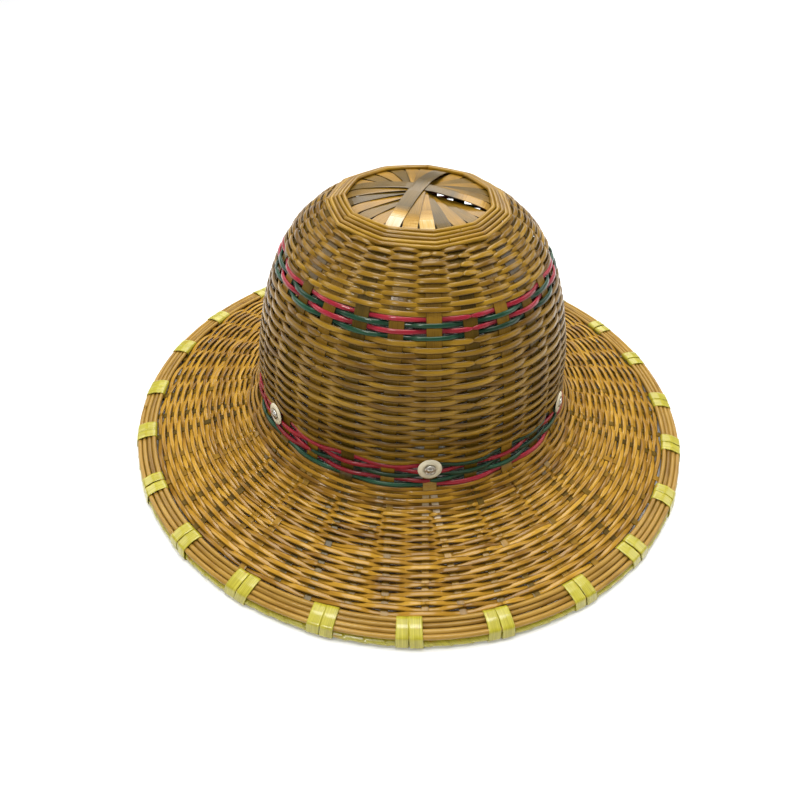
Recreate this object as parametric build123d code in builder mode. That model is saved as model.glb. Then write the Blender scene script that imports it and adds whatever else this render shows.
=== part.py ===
from build123d import *
from math import cos, sin, tan, radians
import os

# Woven bamboo sun hat with a domed crown, a wide sloping brim and a riveted inner liner.
# Millimetres and degrees. The origin is on the surface the hat stands on, under the middle of
# the crown. +Z is up and -Y is the front. A bearing is measured from the front towards +X.

# --- Reference line: the inner face of the ribs, followed from the star down to the rim ---
star_radius = 40.4
star_edge_height = 156.3
start_slope = 16.5
shoulder_radius = 65.8
shoulder_turn = 48.5
wall_radius = 197.8
wall_turn = 19.0
band_length = 22.0
flare_radius = 24.2
flare_turn = 75.5
brim_length = 64.5

# --- Ribs: flat strips that cross at the top and split in two on the brim ---
strip_count = 13
strip_width = 8.4
strip_thickness = 0.45
first_rib_bearing = -4.5
tail_width = 4.1
tail_split_radius = 104.0
star_centre_height = 158.3
star_flat_radius = 8.0
star_ramp_radius = 35.0
star_ramp_height = 157.3
star_ramp_share = 0.55
stack_step = 11
stack_start = 10

# --- Weave: layers that lie on the ribs, given as distances along the reference line ---
weft_thickness = 1.8
weave_top = 12.8
upper_band_top = 47.0
lower_crown_top = 59.5
lower_band_top = 135.5
flare_weave_top = 152.5
brim_weave_top = 176.0
brim_weave_end = 228.2
upper_band_rows = 4
lower_band_rows = 5

# --- Collar: strands wound round the star ---
collar_count = 5
collar_strand_radius = 1.2
collar_pitch = 2.5
fit_gap = 0.02

# --- Rim: rods above and below the rib ends, a wrapped hoop and the strap bindings ---
rod_count = 4
rod_radius = 1.48
first_rod_position = 176.85
under_rod_position = 178.4
under_rod_radius = 1.4
hoop_position = 185.9
hoop_height = 2.62
hoop_core_radius = 1.4
hoop_radius = 2.4
binding_count = 24
first_binding_bearing = 3.3
binding_width_angle = 4.5
binding_groove_angle = 0.12
binding_groove_depth = 0.2
binding_thickness = 0.45

# --- Rivets and washers ---
rivet_count = 6
first_rivet_bearing = 9.0
rivet_distance = 137.6
rivet_shank_radius = 1.6
rivet_head_radius = 3.3
rivet_head_height = 1.5
rivet_head_round = 1.2
rivet_tail_radius = 2.7
rivet_tail_height = 0.7
washer_radius = 7.0
washer_thickness = 1.4
washer_edge_round = 0.5
washer_recess_radius = 4.4
washer_recess_depth = 0.5
inner_washer_radius = 5.0
inner_washer_thickness = 0.8

# --- Liner: a moulded head ring on six lugs and three webbing straps over the head ---
ring_radius = 88.0
ring_thickness = 2.0
ring_bottom = 16.0
ring_top = 46.0
lug_width = 18.0
lug_thickness = 1.6
lug_reach = 9.0
lug_corner = 1.5
webbing_width = 16.0
webbing_thickness = 1.1
webbing_clearance = 0.4
webbing_tail = 9.0
webbing_rise = 16.0
cradle_height = 133.7
cradle_step = 1.7

os.makedirs("parts", exist_ok=True)

wall_slope = start_slope + shoulder_turn + wall_turn
brim_slope = wall_slope - flare_turn
stretches = [
    (shoulder_radius * radians(shoulder_turn), shoulder_turn),
    (wall_radius * radians(wall_turn), wall_turn),
    (band_length, 0.0),
    (flare_radius * radians(flare_turn), -flare_turn),
    (brim_length, 0.0),
]
total_length = sum(length for length, turn in stretches)


def hat_point(distance, offset):
    """Radius and height at a distance along the reference line, raised outward by an offset."""
    radius = star_radius
    height = star_edge_height
    slope = radians(start_slope)
    left = distance
    for length, turn in stretches:
        step = min(left, length)
        bend = radians(turn) * step / length
        middle = slope + bend / 2
        chord = step * (sin(bend / 2) / (bend / 2) if bend else 1.0)
        radius += chord * cos(middle)
        height -= chord * sin(middle)
        slope += bend
        left -= step
        if left <= 0:
            break
    return radius + offset * sin(slope), height + offset * cos(slope)


def hat_stops(start, end):
    """The two ends of a zone and every change of curvature between them."""
    stops = [start]
    travelled = 0.0
    for length, turn in stretches:
        travelled += length
        if start < travelled < end:
            stops.append(travelled)
    return stops + [end]


def bends(distance):
    """True where the reference line is curved at a distance along it."""
    travelled = 0.0
    for length, turn in stretches:
        travelled += length
        if distance < travelled:
            return turn != 0
    return False


def hat_edges(start, end, offset):
    """Arcs and lines that follow the reference line at an offset."""
    stops = hat_stops(start, end)
    for near, far in zip(stops, stops[1:]):
        middle = (near + far) / 2
        if bends(middle):
            ThreePointArc(hat_point(near, offset), hat_point(middle, offset), hat_point(far, offset))
        else:
            Line(hat_point(near, offset), hat_point(far, offset))


def bearing_plane(bearing):
    """Vertical plane through the hat's axis: its X runs outward on a bearing, its Y runs up."""
    outward = (sin(radians(bearing)), -cos(radians(bearing)), 0)
    return Plane(origin=(0, 0, 0), x_dir=outward, z_dir=(outward[1], -outward[0], 0))


def wall_plane(bearing, offset):
    """Plane that lies on the crown wall at a rivet: its Z points out of the wall."""
    radius, height = hat_point(rivet_distance, offset)
    tilt = radians(90 - wall_slope)
    outward = (sin(radians(bearing)), -cos(radians(bearing)))
    return Plane(
        origin=(radius * outward[0], radius * outward[1], height),
        x_dir=(-outward[1], outward[0], 0),
        z_dir=(outward[0] * cos(tilt), outward[1] * cos(tilt), sin(tilt)),
    )


rivet_bearings = [first_rivet_bearing + 360 / rivet_count * place for place in range(rivet_count)]


with BuildPart() as rivet_holes:
    for bearing in rivet_bearings:
        with BuildSketch(wall_plane(bearing, 0)):
            Circle(rivet_shank_radius)
    extrude(amount=washer_radius, both=True)


def hat_layer(start, end, inner, outer, drilled=False):
    """A layer of revolution between two offsets from the reference line."""
    with BuildPart() as layer:
        with BuildSketch(Plane.XZ):
            with BuildLine():
                hat_edges(start, end, inner)
                hat_edges(start, end, outer)
                Line(hat_point(start, inner), hat_point(start, outer))
                Line(hat_point(end, inner), hat_point(end, outer))
            make_face()
        revolve(axis=Axis.Z)
        if drilled:
            add(rivet_holes.part, mode=Mode.SUBTRACT)
    return layer


def save(node, name):
    node.part.label = name
    export_step(node.part, f"parts/{name}.step")


# --- Ribs ---
def star_line(level, lift):
    """Points of a strip's underside across half the star, from the centre to the collar."""
    rise = level * strip_thickness + lift
    return [
        (0, star_centre_height + rise),
        (star_flat_radius, star_centre_height + rise),
        (star_ramp_radius, star_ramp_height + star_ramp_share * level * strip_thickness + lift),
    ]


def rib_outline(reach):
    """Plan outline of one strip: straight over the crown, two spread tails at each end."""
    spread = reach * sin(radians(360 / strip_count / 8))
    half = strip_width / 2
    quarter = [
        (tail_split_radius, half),
        (reach, spread + tail_width / 2),
        (reach, spread - tail_width / 2),
        (tail_split_radius, 0),
    ]
    right = quarter + [(x, -y) for x, y in reversed(quarter[:-1])]
    left = [(-x, -y) for x, y in right]
    Polyline(*right, *left, close=True)


def rib(place):
    bearing = first_rib_bearing + 180 / strip_count * place
    level = (stack_step * place + stack_start) % strip_count
    reach = hat_point(total_length, 0)[0]
    plan = Plane(origin=(0, 0, 0), x_dir=bearing_plane(bearing).x_dir, z_dir=(0, 0, 1))
    with BuildPart() as strip:
        with BuildSketch(Plane.XZ):
            with BuildLine():
                Polyline(*star_line(level, 0), hat_point(0, 0))
                hat_edges(0, total_length, 0)
                Line(hat_point(total_length, 0), hat_point(total_length, strip_thickness))
                hat_edges(0, total_length, strip_thickness)
                Polyline(hat_point(0, strip_thickness), *reversed(star_line(level, strip_thickness)))
                Line((0, star_line(level, 0)[0][1]), (0, star_line(level, strip_thickness)[0][1]))
            make_face()
        revolve(axis=Axis.Z)
        with BuildSketch(plan):
            with BuildLine():
                rib_outline(reach + 2 * rod_radius)
            make_face()
        extrude(amount=star_centre_height + 4 * washer_radius, mode=Mode.INTERSECT)
        add(rivet_holes.part, mode=Mode.SUBTRACT)
    return strip


for place in range(strip_count):
    save(rib(place), f"rib_{place + 1:02d}")

# --- Weave layers on the ribs ---
weft_inner = strip_thickness
weft_outer = strip_thickness + weft_thickness
save(hat_layer(weave_top, upper_band_top, weft_inner, weft_outer), "crown_upper_weft")
save(hat_layer(lower_crown_top, lower_band_top, weft_inner, weft_outer, True), "crown_lower_weft")
save(hat_layer(flare_weave_top, brim_weave_top, weft_inner, weft_outer), "brim_inner_weft")
save(hat_layer(brim_weave_top, brim_weave_end, weft_inner, weft_outer), "brim_outer_weft")


def band_rows(start, end, rows, first, drilled):
    """Every second row of a coloured band, as separate rings."""
    pitch = (end - start) / rows
    with BuildPart() as band:
        for row in range(first, rows, 2):
            top = start + pitch * row
            add(hat_layer(top, top + pitch, weft_inner, weft_outer, drilled).part)
    return band


save(band_rows(upper_band_top, lower_crown_top, upper_band_rows, 0, False), "upper_band_red")
save(band_rows(upper_band_top, lower_crown_top, upper_band_rows, 1, False), "upper_band_green")
save(band_rows(lower_band_top, flare_weave_top, lower_band_rows, 0, True), "lower_band_red")
save(band_rows(lower_band_top, flare_weave_top, lower_band_rows, 1, True), "lower_band_green")


def hoop(radius, height, thickness):
    """A round rod bent into a level ring."""
    with BuildPart() as ring:
        with BuildSketch(Plane.XZ):
            with Locations((radius, height)):
                Circle(thickness)
        revolve(axis=Axis.Z)
    return ring


# --- Collar strands round the star ---
with BuildPart() as top_collar:
    for strand in range(collar_count):
        distance = collar_strand_radius + collar_pitch * strand
        seat = hat_point(distance, strip_thickness + collar_strand_radius + fit_gap)
        add(hoop(*seat, collar_strand_radius).part)
save(top_collar, "top_collar")

# --- Rim rods ---
reference_end = hat_point(total_length, 0)


def rim_height(radius):
    """Height of the ribs' underside on the straight part of the brim."""
    return reference_end[1] + (reference_end[0] - radius) * tan(radians(brim_slope))


rod_seats = []
for rod in range(rod_count):
    rod_position = first_rod_position + 2 * rod_radius * rod
    lift = (strip_thickness + rod_radius + fit_gap) / cos(radians(brim_slope))
    rod_seats.append((rod_position, rim_height(rod_position) + lift))
    save(hoop(*rod_seats[-1], rod_radius - fit_gap), f"rim_rod_{rod + 1}")

under_drop = (under_rod_radius + fit_gap) / cos(radians(brim_slope))
under_seat = (under_rod_position, rim_height(under_rod_position) - under_drop)
save(hoop(*under_seat, under_rod_radius), "rim_under_rod")

# --- Wrapped hoop under the rim: a rod and its spiral wrapping, pressed flat underneath ---
with BuildPart() as hoop_core:
    with BuildSketch(Plane.XZ):
        with Locations((hoop_position, hoop_height)):
            Circle(hoop_core_radius)
    revolve(axis=Axis.Z)
save(hoop_core, "rim_hoop_core")

with BuildPart() as hoop_wrap:
    with BuildSketch(Plane.XZ):
        with Locations((hoop_position, hoop_height)):
            Circle(hoop_radius)
            Circle(hoop_core_radius, mode=Mode.SUBTRACT)
        with Locations((hoop_position, binding_thickness)):
            Rectangle(
                4 * hoop_radius,
                hoop_radius,
                align=(Align.CENTER, Align.MAX),
                mode=Mode.SUBTRACT,
            )
    revolve(axis=Axis.Z)
save(hoop_wrap, "rim_hoop_wrap")


# --- Strap bindings round the rods, the rib ends and the hoop ---
def rim_hull(growth, floor):
    """Outline of a strap pulled tight round the rim, cut flat at the floor."""
    with BuildSketch(Plane.XY) as bundle:
        for seat, radius in [(seat, rod_radius) for seat in rod_seats] + [
            (under_seat, under_rod_radius + fit_gap),
            ((hoop_position, hoop_height), hoop_radius + fit_gap),
        ]:
            with Locations(seat):
                Circle(radius + growth)
    with BuildSketch(Plane.XY) as hull:
        make_hull(bundle.sketch.edges())
        with Locations((hoop_position, floor)):
            Rectangle(
                10 * hoop_radius,
                hoop_radius,
                align=(Align.CENTER, Align.MAX),
                mode=Mode.SUBTRACT,
            )
    return hull


def binding_ring(bearing, angle, outer_growth, inner_growth, inner_floor):
    """A strap's loop, swept round the rim through an angle centred on a bearing."""
    section = bearing_plane(bearing - angle / 2)
    with BuildPart() as loop:
        with BuildSketch(section):
            add(rim_hull(outer_growth, 0).sketch)
            add(rim_hull(inner_growth, inner_floor).sketch, mode=Mode.SUBTRACT)
            with BuildLine():
                inside = rim_height(first_rod_position - 4 * rod_radius)
                edge = rim_height(first_rod_position)
                Polyline(
                    (first_rod_position - 4 * rod_radius, inside - fit_gap),
                    (first_rod_position, edge - fit_gap),
                    (first_rod_position, edge + strip_thickness + 2 * fit_gap),
                    (first_rod_position - 4 * rod_radius, inside + strip_thickness + 2 * fit_gap),
                    close=True,
                )
            make_face(mode=Mode.SUBTRACT)
        revolve(axis=Axis.Z, revolution_arc=angle)
    return loop


with BuildPart() as one_binding:
    add(
        binding_ring(
            first_binding_bearing,
            binding_width_angle,
            binding_thickness,
            0,
            binding_thickness,
        ).part
    )
    add(
        binding_ring(
            first_binding_bearing,
            binding_groove_angle,
            2 * binding_thickness,
            binding_thickness - binding_groove_depth,
            binding_groove_depth,
        ).part,
        mode=Mode.SUBTRACT,
    )

with BuildPart() as rim_bindings:
    with PolarLocations(0, binding_count):
        add(one_binding.part)
save(rim_bindings, "rim_bindings")

# --- Rivets and washers ---
outer_seat = weft_outer + fit_gap
webbing_seat = -webbing_clearance
lug_seat = webbing_seat - webbing_thickness
tail_seat = lug_seat - lug_thickness - inner_washer_thickness

with BuildPart() as outer_washers:
    for bearing in rivet_bearings:
        with BuildPart(mode=Mode.PRIVATE) as washer:
            with BuildSketch(wall_plane(bearing, outer_seat)):
                Circle(washer_radius)
                Circle(rivet_shank_radius, mode=Mode.SUBTRACT)
            extrude(amount=washer_thickness)
            rim_edges = washer.edges().filter_by(GeomType.CIRCLE).group_by(SortBy.LENGTH)[-1]
            fillet(rim_edges, washer_edge_round)
            with BuildSketch(wall_plane(bearing, outer_seat + washer_thickness)):
                Circle(washer_recess_radius)
                Circle(rivet_head_radius, mode=Mode.SUBTRACT)
            extrude(amount=-washer_recess_depth, mode=Mode.SUBTRACT)
        add(washer.part)
save(outer_washers, "outer_washers")

with BuildPart() as inner_washers:
    for bearing in rivet_bearings:
        with BuildSketch(wall_plane(bearing, lug_seat - lug_thickness)):
            Circle(inner_washer_radius)
            Circle(rivet_shank_radius, mode=Mode.SUBTRACT)
    extrude(amount=-inner_washer_thickness)
save(inner_washers, "inner_washers")

head_seat = outer_seat + washer_thickness
with BuildPart() as rivets:
    for bearing in rivet_bearings:
        with BuildPart(mode=Mode.PRIVATE) as rivet:
            with BuildSketch(wall_plane(bearing, tail_seat)):
                Circle(rivet_shank_radius)
            extrude(amount=head_seat - tail_seat)
            with BuildSketch(wall_plane(bearing, head_seat)):
                Circle(rivet_head_radius)
            extrude(amount=rivet_head_height)
            outward = Axis((0, 0, 0), wall_plane(bearing, 0).z_dir)
            fillet(rivet.edges().sort_by(outward)[-1], rivet_head_round)
            with BuildSketch(wall_plane(bearing, tail_seat)):
                Circle(rivet_tail_radius)
            extrude(amount=-rivet_tail_height)
        add(rivet.part)
save(rivets, "rivets")

# --- Liner ring: one moulding with six lugs that reach out to the rivets ---
lug_face = hat_point(rivet_distance, lug_seat - lug_thickness / 2)
bridge_bottom = lug_face[1] - lug_reach
with BuildPart() as liner_ring:
    with BuildSketch(Plane.XY.offset(ring_bottom)):
        Circle(ring_radius + ring_thickness)
        Circle(ring_radius, mode=Mode.SUBTRACT)
    extrude(amount=ring_top - ring_bottom)
    for bearing in rivet_bearings:
        with BuildSketch(wall_plane(bearing, lug_seat)):
            RectangleRounded(lug_width, 2 * lug_reach, lug_corner)
        extrude(amount=-lug_thickness)
        with BuildSketch(bearing_plane(bearing)):
            with Locations((ring_radius + ring_thickness / 2, bridge_bottom + lug_corner)):
                Rectangle(
                    lug_face[0] - ring_radius - ring_thickness / 2,
                    lug_thickness,
                    align=(Align.MIN, Align.MIN),
                )
        extrude(amount=lug_width / 2 - lug_corner, both=True)
    add(rivet_holes.part, mode=Mode.SUBTRACT)
save(liner_ring, "liner_ring")

# --- Cradle: webbing straps from rivet to opposite rivet, stacked where they cross ---
along_wall = (cos(radians(wall_slope)), -sin(radians(wall_slope)))
webbing_face = hat_point(rivet_distance, webbing_seat - webbing_thickness / 2)
webbing_low = (
    webbing_face[0] + webbing_tail * along_wall[0],
    webbing_face[1] + webbing_tail * along_wall[1],
)
webbing_high = (
    webbing_face[0] - webbing_rise * along_wall[0],
    webbing_face[1] - webbing_rise * along_wall[1],
)
for strap in range(rivet_count // 2):
    crossing = (0, cradle_height + cradle_step * strap)
    with BuildPart() as cradle_strap:
        with BuildSketch(bearing_plane(rivet_bearings[strap])):
            with BuildLine():
                Line(webbing_low, webbing_high)
                ThreePointArc(webbing_high, crossing, (-webbing_high[0], webbing_high[1]))
                Line((-webbing_high[0], webbing_high[1]), (-webbing_low[0], webbing_low[1]))
            trace(line_width=webbing_thickness)
        extrude(amount=webbing_width / 2, both=True)
        add(rivet_holes.part, mode=Mode.SUBTRACT)
    save(cradle_strap, f"cradle_strap_{strap + 1}")
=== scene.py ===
import random
from math import atan2, cos, pi, radians, sin, sqrt, tau

import bpy
from mathutils import Matrix, Vector


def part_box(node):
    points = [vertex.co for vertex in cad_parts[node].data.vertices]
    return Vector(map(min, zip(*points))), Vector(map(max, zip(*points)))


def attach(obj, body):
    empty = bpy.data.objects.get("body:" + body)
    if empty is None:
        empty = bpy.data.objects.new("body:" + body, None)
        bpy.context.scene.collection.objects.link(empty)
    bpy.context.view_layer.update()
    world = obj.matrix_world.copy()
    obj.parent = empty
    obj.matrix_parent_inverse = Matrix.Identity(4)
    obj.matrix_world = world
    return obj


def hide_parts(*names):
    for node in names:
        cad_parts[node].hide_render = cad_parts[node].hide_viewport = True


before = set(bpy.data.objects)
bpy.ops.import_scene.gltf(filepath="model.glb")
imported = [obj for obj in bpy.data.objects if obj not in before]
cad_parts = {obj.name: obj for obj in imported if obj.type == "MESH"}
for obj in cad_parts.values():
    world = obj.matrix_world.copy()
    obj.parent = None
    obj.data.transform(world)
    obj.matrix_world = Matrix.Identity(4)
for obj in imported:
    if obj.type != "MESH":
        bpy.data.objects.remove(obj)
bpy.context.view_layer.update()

# Woven bamboo sun hat: the looks, in metres. A bearing is measured from the front (-Y) towards +X.
# The strands, strips, rods, straps and rivets here replace the CAD pieces in the same places.
# The liner keeps its CAD shapes.

rng = random.Random(7)

# --- Driving values, the same design as the CAD model ---
STAR_RADIUS = 0.0404
STAR_HEIGHT = 0.1563
START_SLOPE = 16.5
STRETCHES = [  # (length, turn in degrees) down from the star: shoulder, wall, band, flare, brim
    (0.0658 * radians(48.5), 48.5),
    (0.1978 * radians(19.0), 19.0),
    (0.022, 0.0),
    (0.0242 * radians(75.5), -75.5),
    (0.0645, 0.0),
]
TOTAL = sum(length for length, turn in STRETCHES)
RIBS = 26
RIB_STEP = tau / RIBS
FIRST_RIB = radians(-4.5)
STRIP_WIDTH = 0.0084
STRIP_THICKNESS = 0.00045
TAIL_WIDTH = 0.0041
SPLIT_RADIUS = 0.104
RIM_SPREAD = 0.0116
WEAVE_LIFT = 0.0013

# Where each zone of weave starts, as a distance down from the star
COLLAR_TOP = 0.0012
UPPER_TOP = 0.0120
UPPER_BAND = 0.047
LOWER_TOP = 0.0595
LOWER_BAND = 0.1355
FLARE_TOP = 0.1525
BRIM_TOP = 0.166
BRIM_MIDDLE = 0.195
BRIM_END = 0.2284


def hat_point(distance, offset=0.0):
    """Radius and height at a distance down the reference line, and its slope in radians."""
    radius, height, slope, left = STAR_RADIUS, STAR_HEIGHT, radians(START_SLOPE), distance
    for length, turn in STRETCHES:
        step = min(left, length)
        bend = radians(turn) * step / length
        chord = step * (sin(bend / 2) / (bend / 2) if abs(bend) > 1e-9 else 1.0)
        radius += chord * cos(slope + bend / 2)
        height -= chord * sin(slope + bend / 2)
        slope += bend
        left -= step
        if left <= 0:
            break
    return radius + offset * sin(slope), height + offset * cos(slope), slope


def place(bearing, radius, height):
    return Vector((radius * sin(bearing), -radius * cos(bearing), height))


# --- Mesh helpers ---
class Builder:
    """Collects vertices, faces and three numbers for each vertex: tone, along and across."""

    def __init__(self):
        self.points, self.faces = [], []
        self.tone, self.along, self.across = [], [], []

    def add(self, point, tone, along, across):
        self.points.append(point)
        self.tone.append(tone)
        self.along.append(along)
        self.across.append(across)
        return len(self.points) - 1

    def tube(self, sections, closed=False):
        """Joins rings of vertex numbers, each of one length, into a closed-ended tube."""
        count = len(sections[0])
        pairs = list(zip(sections, sections[1:]))
        if closed:
            pairs.append((sections[-1], sections[0]))
        for first, second in pairs:
            for i in range(count):
                j = (i + 1) % count
                self.faces.append((first[i], first[j], second[j], second[i]))
        if not closed:
            self.faces.append(tuple(reversed(sections[0])))
            self.faces.append(tuple(sections[-1]))

    def finish(self, name, material, replaced, slot, smooth=True):
        mesh = bpy.data.meshes.new(name)
        mesh.from_pydata([tuple(p) for p in self.points], [], self.faces)
        for key in ("tone", "along", "across"):
            layer = mesh.attributes.new(key, "FLOAT", "POINT")
            layer.data.foreach_set("value", getattr(self, key))
        mesh.polygons.foreach_set("use_smooth", [smooth] * len(mesh.polygons))
        mesh.materials.append(material)
        mesh.validate()
        piece = bpy.data.objects.new(name, mesh)
        bpy.context.scene.collection.objects.link(piece)
        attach(piece, "root")
        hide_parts(*replaced)


def signed_power(value, power):
    return abs(value) ** power * (1 if value > 0 else -1)


def rounded(width, thickness, count=8, power=0.62):
    """A flattened round section: (across, lift) pairs."""
    section = []
    for i in range(count):
        angle = tau * (i + 0.5) / count
        x = signed_power(cos(angle), power)
        y = signed_power(sin(angle), power)
        section.append((x * width / 2, y * thickness / 2))
    return section


# --- Materials ---
# Places of the colour sockets on Blender's mix node
MIX_FACTOR = 0
MIX_FIRST = 6
MIX_SECOND = 7
MIX_COLOUR = 2


class Shader:
    """Short calls for building one node material."""

    def __init__(self, name):
        self.material = bpy.data.materials.new(name)
        self.material.use_nodes = True
        self.tree = self.material.node_tree
        self.shader = self.tree.nodes["Principled BSDF"]

    def node(self, kind, **inputs):
        node = self.tree.nodes.new(kind)
        for key, value in inputs.items():
            self.plug(node, key.replace("_", " "), value)
        return node

    def plug(self, node, socket, value):
        target = node.inputs[socket]
        if isinstance(value, bpy.types.NodeSocket):
            self.tree.links.new(value, target)
        else:
            target.default_value = value

    def attribute(self, name):
        node = self.node("ShaderNodeAttribute")
        node.attribute_name = name
        return node.outputs["Fac"]

    def math(self, operation, *values):
        node = self.tree.nodes.new("ShaderNodeMath")
        node.operation = operation
        for index, value in enumerate(values):
            self.plug(node, index, value)
        return node.outputs[0]

    def noise(self, vector, scale, detail=3.0, rough=0.55):
        node = self.node("ShaderNodeTexNoise", Vector=vector, Scale=scale, Detail=detail, Roughness=rough)
        return node.outputs["Fac"]

    def streaks(self, along, across, shift, lengthwise, crosswise, detail=3.0):
        """Noise stretched along a strand, from its scales lengthwise and crosswise."""
        x = self.math("MULTIPLY", along, lengthwise)
        y = self.math("MULTIPLY", across, crosswise)
        where = self.node("ShaderNodeCombineXYZ", X=x, Y=y, Z=shift).outputs[0]
        return self.noise(where, 1.0, detail)

    def ramp(self, factor, stops):
        node = self.node("ShaderNodeValToRGB", Fac=factor)
        elements = node.color_ramp.elements
        while len(elements) < len(stops):
            elements.new(0.5)
        for element, (position, colour) in zip(elements, stops):
            element.position = position
            element.color = (*colour, 1.0)
        return node.outputs["Color"]

    def mix(self, factor, first, second, blend="MIX"):
        node = self.tree.nodes.new("ShaderNodeMix")
        node.data_type = "RGBA"
        node.blend_type = blend
        self.plug(node, MIX_FACTOR, factor)
        for socket, value in ((MIX_FIRST, first), (MIX_SECOND, second)):
            self.plug(node, socket, (*value, 1.0) if isinstance(value, tuple) else value)
        return node.outputs[MIX_COLOUR]

    def bump(self, height, strength, distance):
        node = self.node("ShaderNodeBump", Height=height, Strength=strength, Distance=distance)
        self.tree.links.new(node.outputs[0], self.shader.inputs["Normal"])


STAIN_SHADES = [
    (0.0, (0.30, 0.18, 0.07)), (0.30, (0.62, 0.46, 0.26)), (0.46, (1, 1, 1)), (1.0, (1, 1, 1)),
]


def bamboo(name, stops, rough, coat, stain=0.35, edge=None):
    """Varnished split bamboo: a tone for each strand, fibre streaks, dark stains, and painted shade along
    the edges where strands meet.
    """
    m = Shader(name)
    tone, along, across = m.attribute("tone"), m.attribute("along"), m.attribute("across")
    shift = m.math("MULTIPLY", tone, 40.0)
    fibre = m.streaks(along, across, shift, 60.0, 2600.0)
    patch = m.streaks(along, across, shift, 38.0, 40.0, 2.0)
    patched = m.math("MULTIPLY_ADD", patch, 0.6, m.math("ADD", tone, -0.525))
    level = m.math("MULTIPLY_ADD", fibre, 0.45, patched)
    # The stops run past 1 and a ramp doesn't, so both sides are halved
    colour = m.ramp(m.math("MULTIPLY", level, 0.5), [(position / 2, shade) for position, shade in stops])
    dark = m.ramp(patch, STAIN_SHADES)
    colour = m.mix(stain, colour, dark, "MULTIPLY")
    # Painted shade: beyond the given edge distance a strand is mixed towards near-black, standing for the
    # shade in the gaps between strands.
    if edge:
        inside = m.math("LESS_THAN", m.math("ABSOLUTE", across), edge)
        colour = m.mix(inside, m.mix(0.6, colour, (0.03, 0.015, 0.004)), colour)
    m.plug(m.shader, "Base Color", colour)
    m.plug(m.shader, "Roughness", m.math("MULTIPLY_ADD", fibre, 0.25, rough - 0.12))
    m.plug(m.shader, "Coat Weight", coat)
    m.plug(m.shader, "Coat Roughness", 0.10)
    m.plug(m.shader, "Specular IOR Level", 0.22)
    m.plug(m.shader, "Specular Tint", (1.0, 0.82, 0.50, 1.0))
    m.bump(fibre, 0.5, 0.0003)
    return m.material


# Painted shade: the crown's palette is the brim's bamboo darkened. It stands for the shade on the upright
# crown wall, which takes less light from above than the brim.
CROWN_PAINTED_SHADE_STOPS = [
    (0.0, (0.045, 0.018, 0.002)), (0.3, (0.135, 0.065, 0.004)), (0.55, (0.245, 0.130, 0.008)),
    (0.8, (0.390, 0.220, 0.016)), (1.1, (0.660, 0.440, 0.100)),
]
BRIM_SHADES = [
    (0.0, (0.060, 0.022, 0.002)), (0.3, (0.200, 0.092, 0.006)), (0.55, (0.370, 0.188, 0.013)),
    (0.8, (0.550, 0.310, 0.032)), (1.1, (0.820, 0.580, 0.180)),
]
CROWN = bamboo("bamboo_crown_painted_shade", CROWN_PAINTED_SHADE_STOPS, 0.32, 0.30, edge=0.00115)
BRIM = bamboo("bamboo_brim", BRIM_SHADES, 0.30, 0.35, edge=0.00105)
# The collar strands use the crown's palette, with the same painted shade.
COLLAR = bamboo("bamboo_collar_painted_shade", CROWN_PAINTED_SHADE_STOPS, 0.32, 0.30)
# The last stop, at 1.6, is reached only where the list of worn places and glints adds paleness: worn,
# bleached bamboo and the painted highlight on the front ribs.
STRIP = bamboo(
    "bamboo_strip",
    [(0.0, (0.020, 0.014, 0.003)), (0.3, (0.070, 0.043, 0.004)), (0.55, (0.155, 0.085, 0.006)),
     (0.8, (0.330, 0.170, 0.015)), (1.1, (0.520, 0.340, 0.105)), (1.6, (0.800, 0.780, 0.740))],
    0.34, 0.30, 0.35, 0.0039,
)
ROD = bamboo(
    "bamboo_rod",
    [(0.0, (0.060, 0.028, 0.004)), (0.3, (0.190, 0.100, 0.014)), (0.6, (0.360, 0.205, 0.036)),
     (1.1, (0.560, 0.360, 0.090))],
    0.36, 0.30, 0.4,
)
RED = bamboo(
    "dyed_red",
    [(0.0, (0.100, 0.003, 0.010)), (0.5, (0.240, 0.006, 0.020)), (1.1, (0.520, 0.035, 0.060))],
    0.32, 0.45, 0.2,
)
GREEN = bamboo(
    "dyed_green",
    [(0.0, (0.002, 0.014, 0.008)), (0.5, (0.003, 0.040, 0.020)), (1.1, (0.030, 0.170, 0.085))],
    0.32, 0.45, 0.2,
)


# --- Rib bearings, and the weave that follows them ---
def rib_bearings(radius, split):
    """Bearings of what a row of weave crosses: whole ribs, or each rib's two tails."""
    centres = [FIRST_RIB + RIB_STEP * k for k in range(RIBS)]
    if not split:
        return centres
    reach = hat_point(TOTAL)[0]
    share = (radius - SPLIT_RADIUS) / (reach - SPLIT_RADIUS)
    side = STRIP_WIDTH / 4 + max(share, 0) * (RIM_SPREAD - STRIP_WIDTH / 4)
    half = atan2(side, radius)
    return [centre + sign * half for centre in centres for sign in (-1, 1)]


PIECE_SPAN = 7  # crossings from one strand's start to the next one's
STRAND_THICKNESS = 0.0015
BAND_FILL = 0.84  # a coloured strand's width as a share of its row
ROW_STEPS = 14
SPLIT_ROW_STEPS = 7
SEAT_GAP = 0.0002
TIP_WIDTH = 0.55  # a strand's size at its tucked end, as a share of its full size


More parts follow.
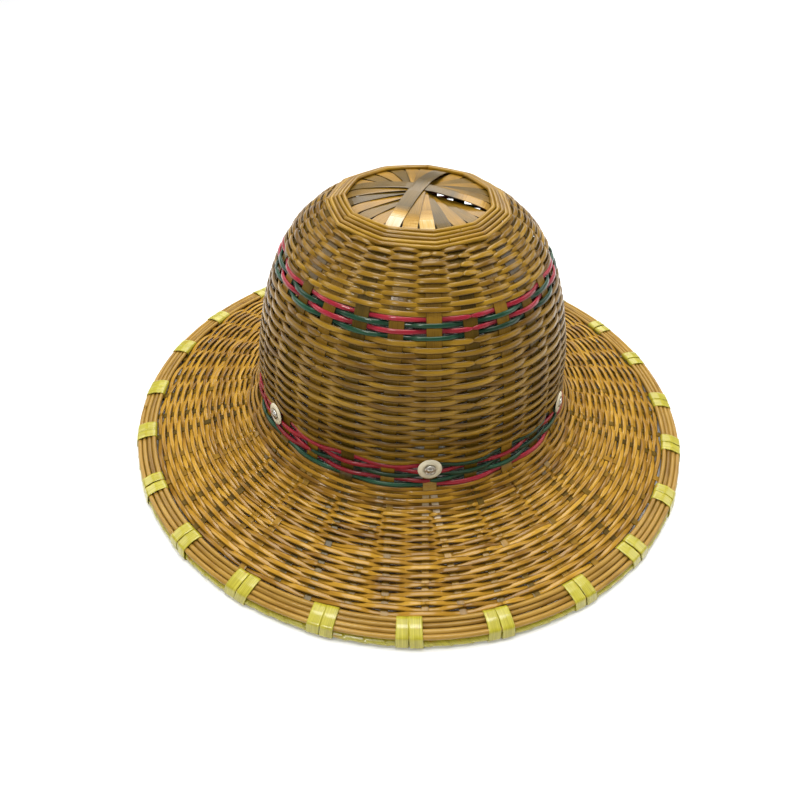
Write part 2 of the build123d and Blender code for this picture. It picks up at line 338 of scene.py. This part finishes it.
def strand_row(builds, distance, parity, split, width, thickness, tone, steps):
    """One row of weave: strands that pass over and under, each with its ends tucked inside."""
    radius = hat_point(distance)[0]
    crossings = rib_bearings(radius, split)
    count = len(crossings)
    crossings.append(crossings[0] + tau)
    start = rng.randrange(count)
    drift, wander = rng.uniform(0, tau), rng.uniform(0, tau)
    section = rounded(width, thickness)
    for first in range(0, count, PIECE_SPAN):
        build = rng.choice(builds)
        piece_tone = tone + rng.uniform(-0.12, 0.12)
        travelled = rng.uniform(0, 2)
        total = min(PIECE_SPAN, count - first) * steps
        sections = []
        for i in range(total + 1):
            crossing = (start + first + i / steps) % count
            k = int(crossing)
            bearing = crossings[k] + (crossing - k) * (crossings[k + 1] - crossings[k])
            wave = signed_power(cos(pi * (crossing + parity)), 0.7)
            sway = 0.00016 * sin(5 * bearing + drift) + 0.00010 * sin(11 * bearing + wander)
            swell = 1 + 0.07 * sin(3 * bearing + wander) + 0.05 * sin(17 * bearing + drift)
            taper = TIP_WIDTH + (1 - TIP_WIDTH) * min(min(i, total - i) / 2, 1)
            r, z, slope = hat_point(distance + sway, WEAVE_LIFT * wave + STRIP_THICKNESS / 2 + SEAT_GAP)
            outward = Vector((sin(bearing) * sin(slope), -cos(bearing) * sin(slope), cos(slope)))
            down = Vector((sin(bearing) * cos(slope), -cos(bearing) * cos(slope), -sin(slope)))
            centre = place(bearing, r, z)
            travelled += radius * tau / (count * steps)
            ring = []
            for x, y in section:
                point = centre + down * (x * swell * taper) + outward * (y * taper)
                ring.append(build.add(point, piece_tone, travelled, x))
            sections.append(ring)
        build.tube(sections)


def weave(name, start, end, rows, split, material, replaced, tone, fill):
    """A zone of rows between two distances along the reference line."""
    pitch = (end - start) / rows
    build = Builder()
    for row in range(rows):
        distance = start + pitch * (row + 0.5) + rng.uniform(-0.05, 0.05) * pitch
        strand_row(
            [build], distance, row % 2, split, pitch * fill, STRAND_THICKNESS,
            tone + rng.uniform(-0.06, 0.06), SPLIT_ROW_STEPS if split else ROW_STEPS,
        )
    build.finish(name, material, replaced, "bamboo_strand")


def coloured_band(name, start, end, rows, mixed):
    """Red and green rows; the strands of a mixed band change colour along each row."""
    pitch = (end - start) / rows
    red, green = Builder(), Builder()
    for row in range(rows):
        own, other = (red, green) if row % 2 == 0 else (green, red)
        strand_row(
            [own, own, own, other] if mixed else [own], start + pitch * (row + 0.5), row % 2, False,
            pitch * BAND_FILL, STRAND_THICKNESS, 0.5 + rng.uniform(-0.06, 0.06), ROW_STEPS,
        )
    red.finish(name + "_red_strands", RED, [name + "_red"], "red_strand")
    green.finish(name + "_green_strands", GREEN, [name + "_green"], "green_strand")


weave("upper_weave", UPPER_TOP, UPPER_BAND, 15, False, CROWN, ["crown_upper_weft"], 0.50, 1.32)
coloured_band("upper_band", UPPER_BAND, LOWER_TOP, 4, False)
weave("lower_weave", LOWER_TOP, LOWER_BAND, 25, False, CROWN, ["crown_lower_weft"], 0.50, 1.16)
coloured_band("lower_band", LOWER_BAND, FLARE_TOP, 5, True)
weave("flare_weave", FLARE_TOP, BRIM_TOP, 6, False, BRIM, ["brim_inner_weft"], 0.44, 1.24)
brim = ["brim_inner_weft", "brim_outer_weft"]
weave("brim_weave_inner", BRIM_TOP, BRIM_MIDDLE, 13, True, BRIM, brim, 0.50, 1.22)
weave("brim_weave_outer", BRIM_MIDDLE, BRIM_END, 13, True, BRIM, brim[1:], 0.52, 1.22)


# --- Ribs: thirteen strips that cross in a star and split in two on the brim ---
STRIPS = 13
STAR_CENTRE = 0.1583
STAR_FLAT = 0.008
STACK_STEP = 11
STACK_START = 10
STAR_STEPS = 16
WALL_STEPS = 90
WEAR_AND_GLINT_FADE = 0.007
# Shade of each strip, from dark olive to orange gold
STRIP_TONES = [0.62, 0.70, 0.42, 0.66, 0.48, 0.68, 0.40, 0.58, 0.38, 0.70, 0.50, 0.72, 0.36]
# Worn, bleached places, and painted highlights where the front ribs glint: (strip, start, end, how much
# paler), measured from the star's centre
WEAR_AND_GLINTS = [
    (12, -0.052, -0.024, 0.85), (1, 0.024, 0.052, 0.34), (6, 0.020, 0.044, 0.45), (0, 0.028, 0.044, 0.30),
    (0, 0.066, 0.078, 0.75), (1, 0.190, 0.225, 0.42), (11, -0.205, -0.195, 0.50), (2, 0.215, 0.260, 0.25),
    (4, -0.230, -0.200, 0.40), (8, 0.070, 0.090, 0.40), (5, -0.210, -0.190, 0.40),
]


def stack_level(strip):
    """How many strips lie under this one at the star."""
    return (STACK_STEP * strip + STACK_START) % STRIPS


def strip_half(level):
    """(radius, height) of a strip's middle from the star's centre to the collar."""
    points = []
    for i in range(STAR_STEPS):
        radius = STAR_RADIUS * i / STAR_STEPS
        share = min(max((STAR_RADIUS - radius) / (STAR_RADIUS - STAR_FLAT), 0), 1)
        dome = STAR_HEIGHT + (STAR_CENTRE - STAR_HEIGHT) * (1 - (radius / STAR_RADIUS) ** 2)
        rise = level * STRIP_THICKNESS * share ** 0.6
        points.append((radius, dome + rise + STRIP_THICKNESS / 2))
    return points


def wear_and_glint_paleness(strip, run):
    """How much paler a strip is at a signed run from the star's centre, from wear and from painted
    highlights.
    """
    pale = 0.0
    for marked_strip, start, end, amount in WEAR_AND_GLINTS:
        if marked_strip == strip:
            pale += amount * max(0, min(1, (run - start) / WEAR_AND_GLINT_FADE, (end - run) / WEAR_AND_GLINT_FADE))
    return pale


def ribbon(build, path, runs, strip, sideways, width, thickness, tone):
    """A flat strip along a path of points, level across itself in one direction."""
    section = rounded(width, thickness, 8, 0.35)
    sections = []
    travelled = rng.uniform(0, 3)
    for i, centre in enumerate(path):
        ahead = path[min(i + 1, len(path) - 1)] - path[max(i - 1, 0)]
        lift = sideways.cross(ahead).normalized()
        # Paler at the listed places: worn, bleached bamboo and painted highlights.
        shade = tone + wear_and_glint_paleness(strip, runs[i])
        if i:
            travelled += (centre - path[i - 1]).length
        sections.append(
            [build.add(centre + sideways * x + lift * y, shade, travelled, x) for x, y in section]
        )
    build.tube(sections)


def rib_strip(strip):
    """One strip from rim to rim over the star, with two tails at each end."""
    bearing = FIRST_RIB + RIB_STEP * strip
    sideways = Vector((cos(bearing), sin(bearing), 0))
    tone = STRIP_TONES[strip]
    samples = [TOTAL * i / WALL_STEPS for i in range(WALL_STEPS + 1)]
    wall = [hat_point(d, STRIP_THICKNESS / 2) for d in samples]
    split = next(i for i, point in enumerate(wall) if point[0] > SPLIT_RADIUS)
    half = strip_half(stack_level(strip)) + [(r, z) for r, z, slope in wall[:split + 1]]
    half_runs = [STAR_RADIUS * i / STAR_STEPS for i in range(STAR_STEPS)]
    half_runs += [STAR_RADIUS + d for d in samples[:split + 1]]
    path = [place(bearing + pi, r, z) for r, z in reversed(half[1:])]
    path += [place(bearing, r, z) for r, z in half]
    runs = [-run for run in reversed(half_runs[1:])] + half_runs
    build = Builder()
    ribbon(build, path, runs, strip, -sideways, STRIP_WIDTH, STRIP_THICKNESS, tone)
    for turn, flip in ((0, 1), (pi, -1)):
        for side in (-1, 1):
            tail = []
            for r, z, slope in wall[split:]:
                share = (r - SPLIT_RADIUS) / (wall[-1][0] - SPLIT_RADIUS)
                shift = STRIP_WIDTH / 4 + share * (RIM_SPREAD - STRIP_WIDTH / 4)
                tail.append(place(bearing + turn + side * atan2(shift, r), r, z))
            tail_runs = [flip * (STAR_RADIUS + d) for d in samples[split:]]
            shade = tone + rng.uniform(-0.08, 0.08)
            ribbon(build, tail, tail_runs, strip, sideways * flip, TAIL_WIDTH, STRIP_THICKNESS, shade)
    node = f"rib_{strip + 1:02d}"
    build.finish(node + "_strip", STRIP, [node], "bamboo_strip", smooth=False)


for strip in range(STRIPS):
    rib_strip(strip)


# --- Round rods: the collar, the rim rods and the hoop's core ---
ROD_GAP = 0.006  # the angle between a rod's two ends
KNOTS = 4
KNOT_REACH = 0.0012
COLLAR_STRANDS = 5
COLLAR_PITCH = 0.0025
COLLAR_LIFT = 0.0012
COLLAR_THICKNESS = 0.00125
COLLAR_CORNERS = 11
COLLAR_PHASE = 0.35
CORNER_SHARPNESS = 0.75
RODS = ["rim_rod_1", "rim_rod_2", "rim_rod_3", "rim_rod_4", "rim_under_rod", "rim_hoop_core"]


def rod(build, radius, height, thickness, tone, corners=0, waver=0.00012, steps=240):
    """A thin rod bent into a ring, with its ends butted, and bent at corners if it has any."""
    start, drift = rng.uniform(0, tau), rng.uniform(0, tau)
    sections = []
    knots = [rng.uniform(0, tau) for _ in range(KNOTS)]
    for i in range(steps + 1):
        bearing = start + (tau - ROD_GAP) * i / steps
        reach = radius + waver * sin(4 * bearing + drift)
        if corners:
            turn = ((bearing + COLLAR_PHASE) * corners / tau) % 1 - 0.5
            flat = cos(pi / corners)
            reach *= 1 + CORNER_SHARPNESS * (flat / cos(turn * tau / corners) - (1 + flat) / 2)
        z = height + waver * cos(3 * bearing + drift)
        swell = 1 + 0.04 * sin(7 * bearing + drift)
        for knot in knots:
            gap = abs((bearing - knot + pi) % tau - pi) * radius
            swell += 0.10 * max(0, 1 - gap / KNOT_REACH)
        ring = []
        for k in range(8):
            angle = tau * (k + 0.5) / 8
            out, up = thickness * swell * cos(angle), thickness * swell * sin(angle)
            point = place(bearing, reach + out, z + up)
            ring.append(build.add(point, tone, radius * bearing, thickness * angle))
        sections.append(ring)
    build.tube(sections)


def collar():
    """The round strands bent about the star, each a ring with blunt corners."""
    build = Builder()
    for strand in range(COLLAR_STRANDS):
        distance = COLLAR_TOP + COLLAR_PITCH * strand
        r, z, slope = hat_point(distance, STRIP_THICKNESS + COLLAR_LIFT)
        tone = 0.55 + rng.uniform(-0.15, 0.15)
        rod(build, r, z, COLLAR_THICKNESS, tone, corners=COLLAR_CORNERS)
    build.finish("collar_strands", COLLAR, ["top_collar"], "bamboo_strand")


def ring_seat(node):
    """Middle radius, middle height and thickness of a level ring node."""
    low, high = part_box(node)
    thickness = (high[2] - low[2]) / 2
    return high[0] - thickness, (high[2] + low[2]) / 2, thickness


def rim_rods():
    """A cane rod in the place of each rod and of the hoop's core."""
    for node in RODS:
        radius, height, thickness = ring_seat(node)
        build = Builder()
        rod(build, radius, height, thickness, 0.5 + rng.uniform(-0.15, 0.15), steps=360)
        build.finish(node + "_cane", ROD, [node], "bamboo_rod")


collar()
rim_rods()


# --- Yellow strip: the hoop's spiral wrapping and the bindings ---
WRAP_TURNS = 108
WRAP_STEPS = 14
WRAP_CORNERS = 16
LAP_START = 0.002
LAP_SPAN = 0.011
SEAM_START = 0.0125  # where the dark line at the end of a lap starts, measured like LAP_START
BINDINGS = 24
FIRST_BINDING = radians(3.3)
BINDING_DRIFT = 0.012
WRAP_WIDTH = 0.0071
STRAP_THICKNESS = 0.00045
STRAP_ARCH = 0.0008
STRAP_STEPS = 44
CIRCLE_STEPS = 20


def yellow():
    """Smooth yellow strip: fine fibres, a few orange stains and a dark seam where turns lap."""
    m = Shader("yellow_strip")
    tone, along, across = m.attribute("tone"), m.attribute("along"), m.attribute("across")
    shift = m.math("MULTIPLY", tone, 60.0)
    fibre = m.streaks(along, across, shift, 60.0, 2500.0)
    patch = m.streaks(along, across, shift, 120.0, 160.0, 2.0)
    base = m.ramp(
        fibre,
        [(0.25, (0.26, 0.21, 0.008)), (0.5, (0.40, 0.35, 0.018)), (0.75, (0.56, 0.50, 0.06))],
    )
    stain = m.ramp(
        patch,
        [(0.0, (0.80, 0.30, 0.02)), (0.27, (0.85, 0.42, 0.03)), (0.34, (1, 1, 1)), (1.0, (1, 1, 1))],
    )
    colour = m.mix(0.85, base, stain, "MULTIPLY")
    seam = m.math("GREATER_THAN", across, SEAM_START)
    m.plug(m.shader, "Base Color", m.mix(seam, colour, (0.06, 0.045, 0.006)))
    m.plug(m.shader, "Roughness", 0.32)
    m.plug(m.shader, "Coat Weight", 0.4)
    m.plug(m.shader, "Coat Roughness", 0.12)
    m.bump(fibre, 0.35, 0.0002)
    return m.material


YELLOW = yellow()
hoop_low, hoop_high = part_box("rim_hoop_wrap")
core_radius, core_height = ring_seat("rim_hoop_core")[:2]
hoop_thickness = hoop_high[0] - core_radius


def wrapped_hoop():
    """The hoop's wrapping: one strip wound in a spiral, each turn lapping the last."""
    build = Builder()
    total = WRAP_TURNS * WRAP_STEPS
    sections = []
    shades = [rng.uniform(0.2, 0.8) for _ in range(WRAP_TURNS + 2)]
    for i in range(total):
        bearing = tau * i / total
        ring = []
        for k in range(WRAP_CORNERS):
            angle = tau * k / WRAP_CORNERS
            lap = (i / WRAP_STEPS + k / WRAP_CORNERS) % 1
            turn = int(i / WRAP_STEPS + k / WRAP_CORNERS)
            thickness = hoop_thickness - STRAP_THICKNESS + STRAP_THICKNESS * lap
            height = max(core_height + thickness * sin(angle), hoop_low[2])
            point = place(bearing, core_radius + thickness * cos(angle), height)
            shade = shades[turn % WRAP_TURNS]
            ring.append(build.add(point, shade, angle * hoop_thickness, LAP_START + lap * LAP_SPAN))
        sections.append(ring)
    build.tube(sections, closed=True)
    build.finish("hoop_wrapping", YELLOW, ["rim_hoop_wrap"], "yellow_strip", smooth=False)


def cross(a, b, c):
    return (b[0] - a[0]) * (c[1] - a[1]) - (b[1] - a[1]) * (c[0] - a[0])


def hull(points):
    """Convex outline of points, anticlockwise."""
    points = sorted(points)
    edges = []
    for order in (points, points[::-1]):
        chain = []
        for p in order:
            while len(chain) > 1 and cross(chain[-2], chain[-1], p) <= 0:
                chain.pop()
            chain.append(p)
        edges += chain[:-1]
    return edges


def rim_outline(growth, floor):
    """The path of a strap pulled round the rods and the hoop: evenly spaced (radius, height)."""
    circles = [ring_seat(node) for node in RODS[:5]] + [(core_radius, core_height, hoop_thickness)]
    middle = [sum(values) / 2 for values in zip(circles[1], circles[2])]
    circles.append((middle[0], middle[1] + STRAP_ARCH, middle[2]))
    points = []
    for radius, height, thickness in circles:
        for k in range(CIRCLE_STEPS):
            angle = tau * k / CIRCLE_STEPS
            x = radius + (thickness + growth) * cos(angle)
            points.append((x, max(height + (thickness + growth) * sin(angle), floor)))
    outline = hull(points)
    outline.append(outline[0])
    lengths = [0.0]
    for a, b in zip(outline, outline[1:]):
        lengths.append(lengths[-1] + sqrt((a[0] - b[0]) ** 2 + (a[1] - b[1]) ** 2))
    even = []
    for i in range(STRAP_STEPS):
        target = lengths[-1] * i / STRAP_STEPS
        k = max(j for j in range(len(lengths)) if lengths[j] <= target)
        share = (target - lengths[k]) / max(lengths[k + 1] - lengths[k], 1e-9)
        a, b = outline[k], outline[k + 1]
        even.append((a[0] + share * (b[0] - a[0]), a[1] + share * (b[1] - a[1])))
    return even


def strap_loop(build, bearing, outline, skew, width, tone):
    """One turn of strap round the rim: a flat band that leans a little."""
    section = rounded(width, STRAP_THICKNESS, 10, 0.4)
    middle = sum(z for r, z in outline) / len(outline)
    sections = []
    count = len(outline)
    length = 0.0
    for i, (r, z) in enumerate(outline):
        before, after = outline[i - 1], outline[(i + 1) % count]
        dx, dz = after[0] - before[0], after[1] - before[1]
        size = sqrt(dx * dx + dz * dz)
        lean = bearing + skew * (z - middle) / r
        out = Vector((sin(lean), -cos(lean), 0))
        side = Vector((cos(lean), sin(lean), 0))
        normal = (out * dz - Vector((0, 0, dx))) / size
        centre = out * r + Vector((0, 0, z))
        length += size / 2
        ring = []
        for x, y in section:
            ring.append(build.add(centre + side * x + normal * y, tone, length, x + y))
        sections.append(ring)
    build.tube(sections, closed=True)


def bindings():
    """Every binding: a strap wound twice round the rim, its second turn lying on the first's edge."""
    floor = STRAP_THICKNESS / 2
    tight = rim_outline(STRAP_THICKNESS * 0.5, floor)
    loose = rim_outline(STRAP_THICKNESS * 0.9, floor)
    build = Builder()
    for k in range(BINDINGS):
        bearing = FIRST_BINDING + tau * k / BINDINGS + rng.uniform(-BINDING_DRIFT, BINDING_DRIFT)
        half = (WRAP_WIDTH * rng.uniform(0.50, 0.56)) / core_radius
        skew = rng.uniform(-0.25, 0.25)
        tone = rng.uniform(0.2, 0.8)
        strap_loop(build, bearing - half, tight, skew, WRAP_WIDTH * rng.uniform(0.95, 1.05), tone)
        strap_loop(build, bearing + half, loose, skew + rng.uniform(-0.1, 0.1), WRAP_WIDTH, tone + 0.03)
    build.finish("binding_straps", YELLOW, ["rim_bindings"], "yellow_strip")


wrapped_hoop()
bindings()


# --- Rivets and washers ---
RIVET_DISTANCE = 0.1376
FIRST_RIVET = radians(9.0)
RIVETS = 6
WEAVE_FACE = 0.00227
LATHE_STEPS = 40
# Profiles, as (radius, height above the weave's face) in millimetres
WASHER = [
    (1.7, 0.0), (6.5, 0.0), (7.0, 0.25), (7.0, 0.6), (6.6, 0.95), (5.6, 1.25), (4.7, 1.4),
    (4.3, 1.3), (4.0, 0.85), (1.7, 0.85),
]
RIVET = [  # the clenched tail inside the crown, the shank, then the dimpled head
    (0.02, -6.87), (2.3, -6.87), (2.7, -6.6), (2.7, -6.17), (1.6, -6.17),
    (1.6, 0.4), (3.1, 0.9), (3.35, 1.35), (3.2, 1.9), (2.8, 2.15), (2.35, 2.05),
    (2.1, 1.8), (1.9, 1.95), (1.3, 2.35), (0.7, 2.5), (0.02, 2.55),
]


def lathe(build, bearing, profile, tone):
    """Turns a profile about the wall's normal at a rivet."""
    r, z, slope = hat_point(RIVET_DISTANCE, WEAVE_FACE)
    out = Vector((sin(bearing) * sin(slope), -cos(bearing) * sin(slope), cos(slope)))
    side = Vector((cos(bearing), sin(bearing), 0))
    up = out.cross(side)
    centre = place(bearing, r, z)
    rings = []
    for radius, height in [(a / 1000, b / 1000) for a, b in profile]:
        ring = []
        for k in range(LATHE_STEPS):
            angle = tau * k / LATHE_STEPS
            point = centre + out * height + (side * cos(angle) + up * sin(angle)) * radius
            ring.append(build.add(point, tone, angle * radius, height + radius))
        rings.append(ring)
    build.tube(rings, closed=True)


def moulded(name, colour, rough, grain, depth):
    """Moulded plastic: a fine satin grain, faint shade variation and grime."""
    m = Shader(name)
    where = m.node("ShaderNodeTexCoord").outputs["Object"]
    fine = m.noise(where, 1 / grain, 3.0)
    broad = m.noise(where, 90.0, 3.0)
    shade = tuple(c * 0.72 for c in colour)
    m.plug(m.shader, "Base Color", m.ramp(broad, [(0.3, shade), (0.62, colour)]))
    m.plug(m.shader, "Roughness", rough)
    m.bump(fine, 0.3, depth)
    return m.material


def metal():
    """Plated steel with fine scratches."""
    m = Shader("rivet_metal")
    where = m.node("ShaderNodeTexCoord").outputs["Object"]
    scratch = m.noise(where, 900.0, 4.0)
    colour = m.ramp(scratch, [(0.3, (0.34, 0.32, 0.28)), (0.7, (0.72, 0.70, 0.64))])
    m.plug(m.shader, "Base Color", colour)
    m.plug(m.shader, "Metallic", 1.0)
    m.plug(m.shader, "Roughness", 0.28)
    m.bump(scratch, 0.15, 0.0001)
    return m.material


CREAM = moulded("cream_plastic", (0.76, 0.68, 0.48), 0.38, 0.0004, 0.00005)
METAL = metal()


def riveting():
    """Every rivet and the dished washer under its head."""
    washers, heads = Builder(), Builder()
    for k in range(RIVETS):
        bearing = FIRST_RIVET + tau * k / RIVETS
        lathe(washers, bearing, WASHER, rng.random())
        lathe(heads, bearing, RIVET, rng.random())
    washers.finish("dished_washers", CREAM, ["outer_washers"], "cream_plastic")
    heads.finish("rivet_heads", METAL, ["rivets"], "rivet_metal")


riveting()


# --- Liner: the CAD shapes stay, with real surfaces ---
THREAD_SCALE = 260.0


def webbing():
    """Plain-woven webbing: crossed ribs of thread, a fuzzy sheen and faint soiling."""
    m = Shader("liner_webbing")
    where = m.node("ShaderNodeTexCoord").outputs["Object"]
    first = m.node("ShaderNodeTexWave", Vector=where, Scale=THREAD_SCALE, Distortion=0.4)
    second = m.node("ShaderNodeTexWave", Vector=where, Scale=THREAD_SCALE, Distortion=0.4)
    second.bands_direction = "Y"
    thread = m.math("MULTIPLY", first.outputs["Fac"], second.outputs["Fac"])
    soil = m.noise(where, 60.0, 4.0)
    base = m.ramp(soil, [(0.3, (0.42, 0.40, 0.34)), (0.65, (0.66, 0.64, 0.57))])
    weave_shade = m.ramp(thread, [(0.0, (0.62, 0.62, 0.62)), (0.5, (1, 1, 1))])
    m.plug(m.shader, "Base Color", m.mix(1.0, base, weave_shade, "MULTIPLY"))
    m.plug(m.shader, "Roughness", 0.85)
    m.plug(m.shader, "Sheen Weight", 0.3)
    m.bump(thread, 0.6, 0.0003)
    return m.material


def dress(node, material):
    """Gives a CAD node its material."""
    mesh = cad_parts[node].data
    mesh.materials.clear()
    mesh.materials.append(material)


LINER = moulded("liner_plastic", (0.70, 0.68, 0.60), 0.42, 0.0006, 0.00008)
WEBBING = webbing()
dress("liner_ring", LINER)
dress("inner_washers", CREAM)
for strap in range(RIVETS // 2):
    dress(f"cradle_strap_{strap + 1}", WEBBING)


# --- Stage, lights and camera ---
FLOOR_SIZE = 12
WORLD_STRENGTH = 0.22
SENSOR_WIDTH = 36
LENS = 28.57
NEAREST = 0.01
EYE = (0.0092, -0.3445, 0.3126)
PITCH, ROLL, YAW = radians(42.04), radians(1.92), radians(-2.68)


def stage():
    """A pale floor and a dim white world."""
    bpy.ops.mesh.primitive_plane_add(size=FLOOR_SIZE, location=(0, 0, 0))
    floor = bpy.context.object
    floor.name = "floor"
    paint = bpy.data.materials.new("floor_paint")
    paint.use_nodes = True
    surface = paint.node_tree.nodes["Principled BSDF"]
    surface.inputs["Base Color"].default_value = (0.9, 0.9, 0.9, 1)
    surface.inputs["Roughness"].default_value = 0.9
    floor.data.materials.append(paint)
    bpy.context.scene.view_settings.view_transform = "Standard"
    world = bpy.data.worlds.new("studio")
    world.use_nodes = True
    background = world.node_tree.nodes["Background"]
    background.inputs["Color"].default_value = (1.0, 1.0, 1.0, 1)
    background.inputs["Strength"].default_value = WORLD_STRENGTH
    bpy.context.scene.world = world


def area_light(name, position, target, size, power):
    light = bpy.data.lights.new(name, "AREA")
    light.size = size
    light.energy = power
    lamp = bpy.data.objects.new(name, light)
    lamp.location = position
    lamp.rotation_euler = (Vector(target) - Vector(position)).to_track_quat("-Z", "Y").to_euler()
    bpy.context.scene.collection.objects.link(lamp)


def camera():
    lens = bpy.data.cameras.new("view")
    lens.sensor_width = SENSOR_WIDTH
    lens.lens = LENS
    lens.clip_start = NEAREST
    eye = bpy.data.objects.new("view", lens)
    aim = Matrix.Rotation(-YAW, 4, "Z") @ Matrix.Rotation(pi / 2 - PITCH, 4, "X")
    eye.matrix_world = Matrix.Translation(EYE) @ (aim @ Matrix.Rotation(ROLL, 4, "Z"))
    bpy.context.scene.collection.objects.link(eye)
    bpy.context.scene.camera = eye


stage()
area_light("top", (0.0, 0.15, 1.30), (0, 0, 0), 0.8, 18)
area_light("backdrop", (0.0, 2.2, 1.5), (0, 2.2, 0), 2.0, 45)
area_light("key", (-0.35, -0.9, 0.95), (0, 0, 0.06), 0.25, 5.0)
area_light("left", (-1.0, 0.2, 0.7), (0, 0, 0.03), 0.6, 3.5)
area_light("right", (1.0, 0.2, 0.7), (0, 0, 0.03), 0.6, 3.5)
camera()
